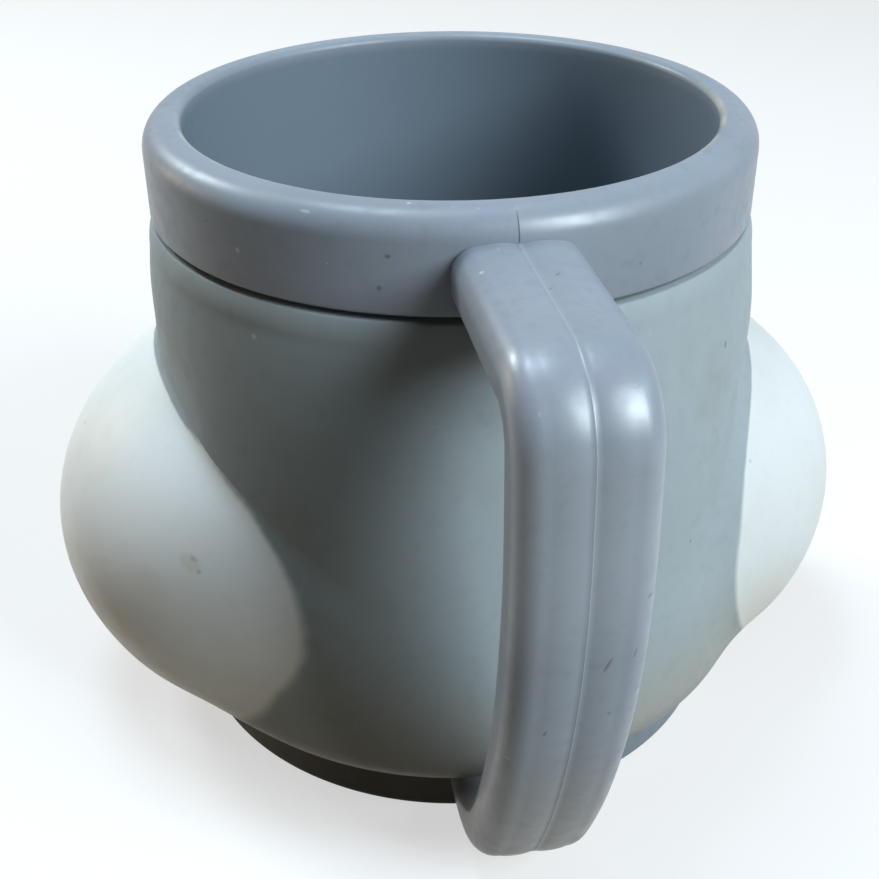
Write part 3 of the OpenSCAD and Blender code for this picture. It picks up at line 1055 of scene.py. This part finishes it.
def make_handle_finish(name):
    """The blue-grey plastic with scratches, painted shade on its lower end, a polished bend and a painted
    highlight on the mould line.
    """
    material, tree, shader = new_material(name, satin_gloss)
    place = object_place(tree)
    colour, roughness, height = blue_grey_finish(tree, place)
    line_highlight = add_node(tree, "ShaderNodeAttribute", attribute_name="line").outputs["Fac"]
    upward = add_node(tree, "ShaderNodeSeparateXYZ", {0: place}).outputs["Z"]
    # The lower end is painted darker and browner: painted shade with a warm cast.
    painted_low_shade = ease(tree, upward, handle_shade_high_z, handle_shade_low_z, 0.0, handle_shade_most)
    colour = blend_colour(tree, painted_low_shade, colour, handle_low_shade)
    # The raised line gets a pale painted highlight, stronger towards the top.
    line_highlight = calc(tree, "MULTIPLY", line_highlight, ease(tree, upward, low_arm_z, arm_z, line_highlight_low, line_highlight_high))
    colour = blend_colour(tree, line_highlight, colour, dust_pale)
    dress(tree, shader, with_marks(tree, place, colour, handle_marks), roughness, height)
    at_bend = spot(tree, place, bend_centre, bend_reach, (0, 0, 0))
    gloss = blend_value(tree, at_bend, satin_gloss, bend_gloss)
    tree.links.new(gloss, shader.inputs["Specular IOR Level"])
    return material


make_piece("handle_bar", bm, "handle", make_handle_finish("blue_grey_handle"))

# %% [markdown]
# ## Floor and light
# The floor is pale to the camera and in what mirrors it. The light that bounces off it is a dark warm brown,
# as from a wooden table.

# %% Floor
floor_half = 1.6
floor_cells = 8
floor_pale = (0.86, 0.86, 0.86, 1)
floor_warm = (0.12, 0.082, 0.040, 1)
floor_white_share = 0.6


def shown_rays(tree):
    """1 for rays from the eye, a mirror or glass, and 0 for light that bounces."""
    path = add_node(tree, "ShaderNodeLightPath").outputs
    shown = calc(tree, "MAXIMUM", path["Is Camera Ray"], path["Is Glossy Ray"])
    return calc(tree, "MAXIMUM", shown, path["Is Transmission Ray"])


bm = bmesh.new()
bmesh.ops.create_grid(bm, x_segments=floor_cells, y_segments=floor_cells, size=floor_half)
floor_mesh = bpy.data.meshes.new("floor")
bm.to_mesh(floor_mesh)
bm.free()
floor = bpy.data.objects.new("floor", floor_mesh)
bpy.context.scene.collection.objects.link(floor)
floor_material = bpy.data.materials.new("pale_floor")
floor_material.use_nodes = True
tree = floor_material.node_tree
tree.nodes.clear()
seen = shown_rays(tree)
floor_colour = blend_colour(tree, seen, floor_warm, floor_pale)
matt_floor = add_node(tree, "ShaderNodeBsdfDiffuse", {"Color": floor_colour})
white_floor = add_node(tree, "ShaderNodeEmission", {"Color": (1, 1, 1, 1), "Strength": 1.0})
whitened = calc(tree, "MULTIPLY", seen, floor_white_share)
floor_inputs = {0: whitened, 1: matt_floor.outputs[0], 2: white_floor.outputs[0]}
floor_shader = add_node(tree, "ShaderNodeMixShader", floor_inputs)
add_node(tree, "ShaderNodeOutputMaterial", {"Surface": floor_shader.outputs[0]})
floor_mesh.materials.append(floor_material)
print("floor", 2 * floor_half, "m wide")

# %% [markdown]
# The room gives almost no light of its own, so the lamps do the modelling. To the eye it is a pale grey.

# %% World
room_tint = (0.80, 0.90, 1.0, 1)
room_strength = 0.02
backdrop_grey = (0.62, 0.64, 0.66, 1)

world = bpy.data.worlds.new("soft_room")
bpy.context.scene.world = world
world.use_nodes = True
tree = world.node_tree
tree.nodes.clear()
seen = shown_rays(tree)
room = add_node(tree, "ShaderNodeBackground", {"Color": room_tint, "Strength": room_strength})
backdrop = add_node(tree, "ShaderNodeBackground", {"Color": backdrop_grey, "Strength": 1.0})
shown = add_node(tree, "ShaderNodeMixShader", {0: seen, 1: room.outputs[0], 2: backdrop.outputs[0]})
add_node(tree, "ShaderNodeOutputWorld", {"Surface": shown.outputs[0]})
print("room light", room_strength)

# %% [markdown]
# A large lamp in front on the right stands for a window, with a weak one beside it. One hangs overhead, and
# two stand behind on the left: one high, and a low warm one that lights the left lobe's edge.

# %% Lamps
lamp_target = Vector((0, 0, 45 * MM))
lamp_distance = 0.75


def soft_lamp(name, azimuth, elevation, width, height, power, colour):
    """An area lamp that looks at the mug. Azimuth 0 is the handle's side, 90 is to the right."""
    a = math.radians(azimuth)
    e = math.radians(elevation)
    away = Vector((math.sin(a) * math.cos(e), -math.cos(a) * math.cos(e), math.sin(e)))
    lamp = bpy.data.lights.new(name, "AREA")
    lamp.shape = "RECTANGLE"
    lamp.size = width
    lamp.size_y = height
    lamp.energy = power
    lamp.color = colour
    holder = bpy.data.objects.new(name, lamp)
    holder.location = lamp_target + away * lamp_distance
    holder.rotation_mode = "QUATERNION"
    holder.rotation_quaternion = (-away).to_track_quat("-Z", "Y")
    bpy.context.scene.collection.objects.link(holder)
    print(name, power, "W")


window_light = (0.82, 0.94, 1.0)
blue_light = (0.50, 0.76, 1.0)
sky_light = (0.68, 0.86, 1.0)
cool_light = (0.88, 0.98, 1.0)
warm_light = (1.0, 0.74, 0.42)
soft_lamp("lamp_window", azimuth=39, elevation=33, width=0.28, height=0.42, power=6.5, colour=window_light)
soft_lamp("lamp_right", azimuth=75, elevation=36, width=0.24, height=0.24, power=0.5, colour=blue_light)
soft_lamp("lamp_overhead", azimuth=-136, elevation=75, width=0.24, height=0.24, power=3.2, colour=sky_light)
soft_lamp("lamp_left_back", azimuth=-134, elevation=36, width=0.18, height=0.18, power=2.8, colour=cool_light)
soft_lamp("lamp_left_low", azimuth=-120, elevation=10, width=0.24, height=0.20, power=0.8, colour=warm_light)

# %% [markdown]
# ## Camera
# The camera looks down on the mug from the handle's side and a little to its left, close enough that the
# near parts look larger than the far ones.

# %% Camera
camera_place = Vector((-32.22, -173.87, 144.67)) * MM
camera_azimuth = math.radians(-9.92)
camera_elevation = math.radians(31.27)
camera_roll = math.radians(-0.46)
camera_lens = 53.24
camera_sensor = 36
camera_clip = 10 * MM

look = Vector((
    -math.sin(camera_azimuth) * math.cos(camera_elevation),
    math.cos(camera_azimuth) * math.cos(camera_elevation),
    -math.sin(camera_elevation)))
camera_data = bpy.data.cameras.new("camera")
camera_data.lens = camera_lens
camera_data.sensor_width = camera_sensor
camera_data.clip_start = camera_clip
camera = bpy.data.objects.new("camera", camera_data)
camera.location = camera_place
camera.rotation_mode = "QUATERNION"
camera.rotation_quaternion = look.to_track_quat("-Z", "Y") @ Quaternion((0, 0, 1), camera_roll)
bpy.context.scene.collection.objects.link(camera)
bpy.context.scene.camera = camera
bpy.context.scene.view_settings.view_transform = "Standard"
print("lens", camera_lens, "mm, height", round(camera_place.z / MM), "mm")
